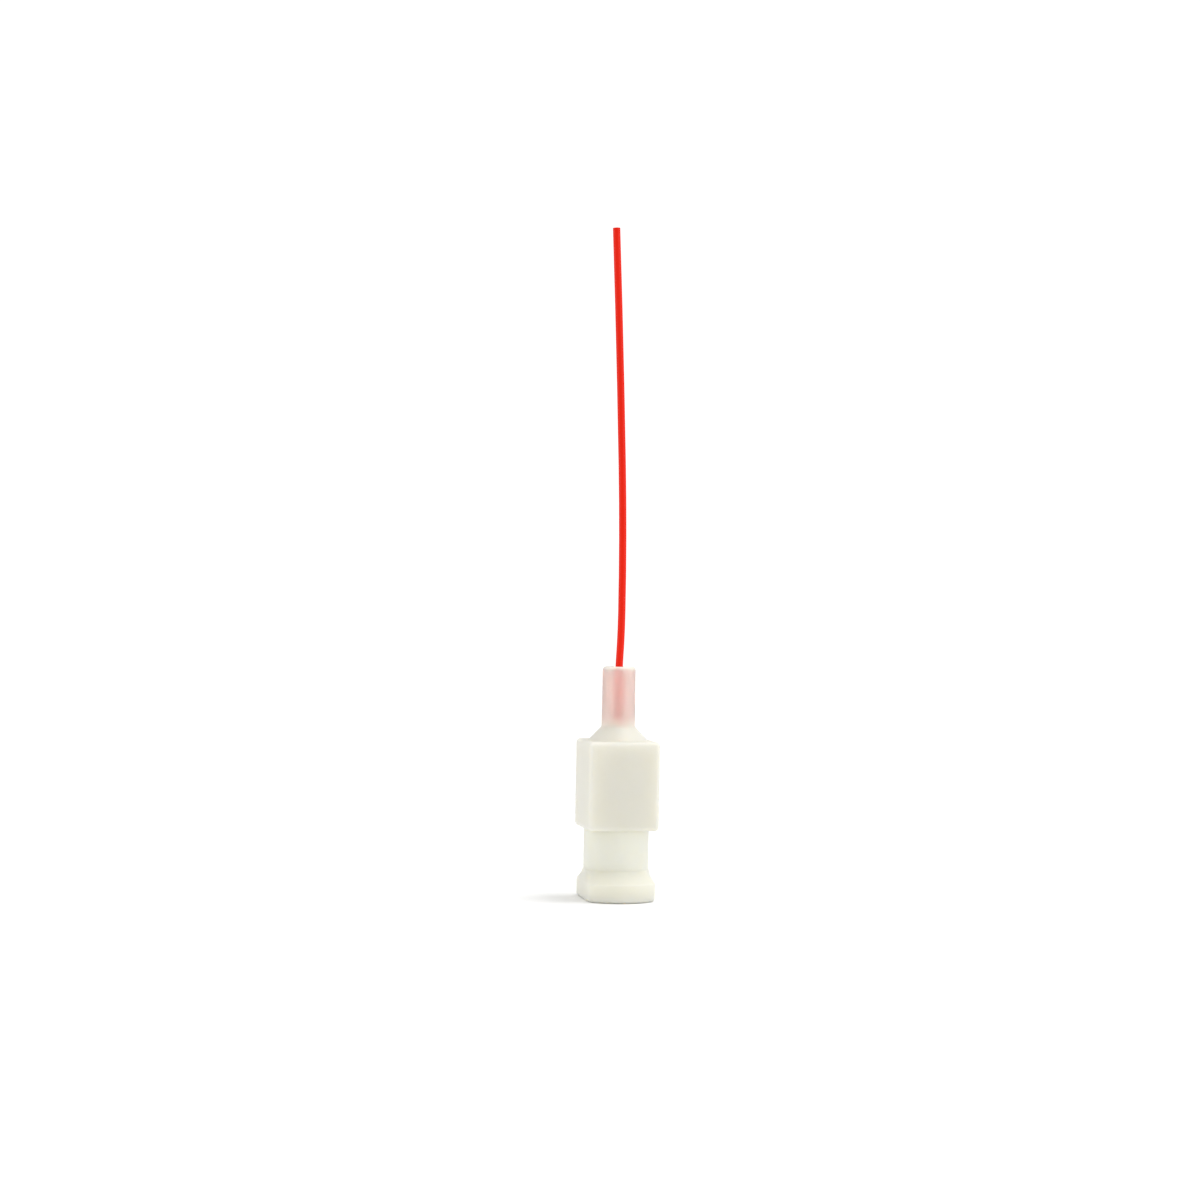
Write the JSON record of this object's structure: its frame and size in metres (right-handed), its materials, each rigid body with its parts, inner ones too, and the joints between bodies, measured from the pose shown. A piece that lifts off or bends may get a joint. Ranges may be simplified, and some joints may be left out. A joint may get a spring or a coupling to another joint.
{
  "type": "dispensing needle tip",
  "caption": "Flexible dispensing tip: a moulded plastic hub with a female taper lock socket and a slim bowed plastic tube.",
  "frame": {"origin": "centre of the socket's mouth plane, on the hub's axis", "axes": "+Z along the hub's axis towards the tube's tip, X and Y square to the grip block's flats, with the lugs along Y and the tube's bow in the X-Z plane"},
  "size_m": [0.0062, 0.0078, 0.0582],
  "materials": {
    "hub": "natural translucent polypropylene, satin",
    "tube": "smooth extruded plastic"
  },
  "bodies": {
    "root": {"hub": "hub", "tube": "tube"}
  },
  "joints": []
}
